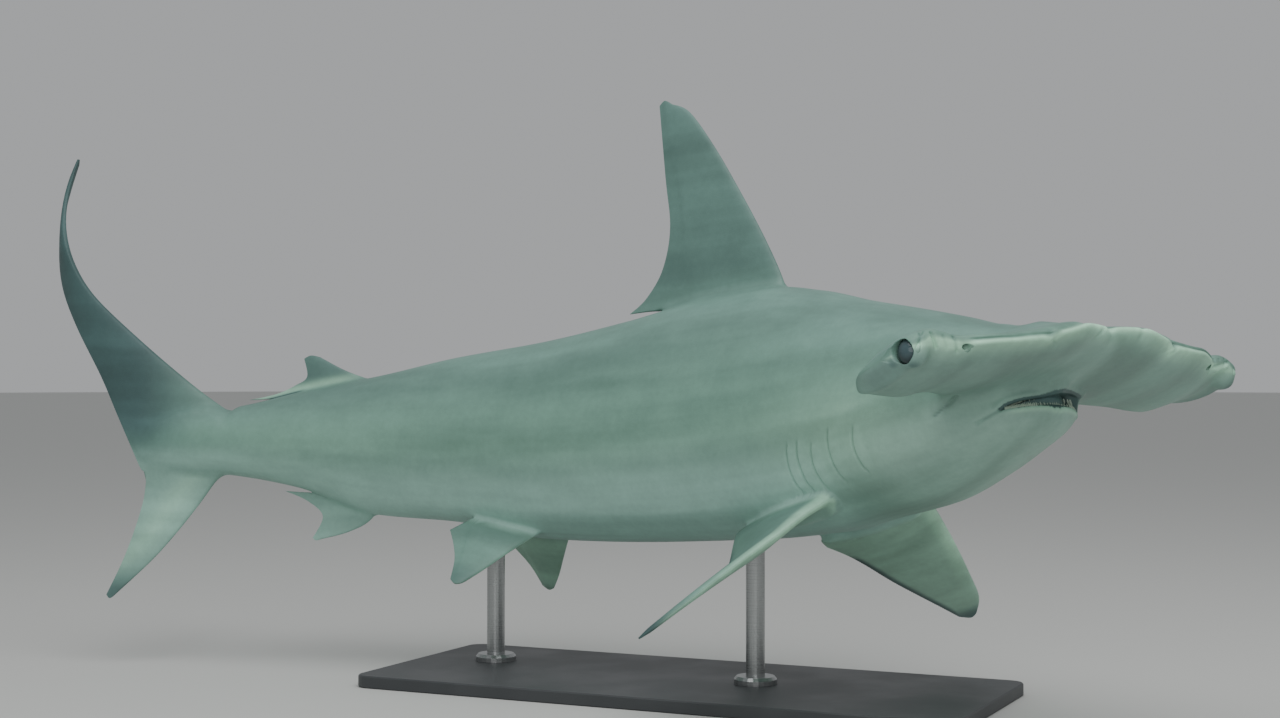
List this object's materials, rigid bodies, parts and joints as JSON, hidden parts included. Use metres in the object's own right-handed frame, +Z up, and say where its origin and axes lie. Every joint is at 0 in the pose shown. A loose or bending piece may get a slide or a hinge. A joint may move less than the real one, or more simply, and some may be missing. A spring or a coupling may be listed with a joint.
{
  "type": "hammerhead shark model",
  "caption": "Life-size still model of a scalloped hammerhead shark swimming with its head and tail turned, held on a flat base by short rods.",
  "frame": {"origin": "centre of the stand base's underside, on the floor", "axes": "+X is the way the shark swims, +Y is towards its left side, +Z is up"},
  "size_m": [2.0696, 0.827, 0.9559],
  "materials": {
    "shark_skin": "satin, finely rough",
    "eye": "wet gloss",
    "stand_base": "satin powder coat",
    "stand_rod": "brushed"
  },
  "bodies": {
    "root": {"head": "shark_skin", "lower_jaw": "shark_skin", "eye_left": "eye", "eye_right": "eye", "gill_region": "shark_skin", "torso": "shark_skin", "abdomen": "shark_skin", "tail_stalk": "shark_skin", "first_dorsal_fin": "shark_skin", "second_dorsal_fin": "shark_skin", "anal_fin": "shark_skin", "pectoral_fin_left": "shark_skin", "pectoral_fin_right": "shark_skin", "pelvic_fin_left": "shark_skin", "pelvic_fin_right": "shark_skin", "caudal_fin_upper_lobe": "shark_skin", "caudal_fin_lower_lobe": "shark_skin", "stand_base": "stand_base", "stand_rod_front": "stand_rod", "stand_rod_rear": "stand_rod", "stand_collar_front": "stand_rod", "stand_collar_rear": "stand_rod"}
  },
  "joints": []
}
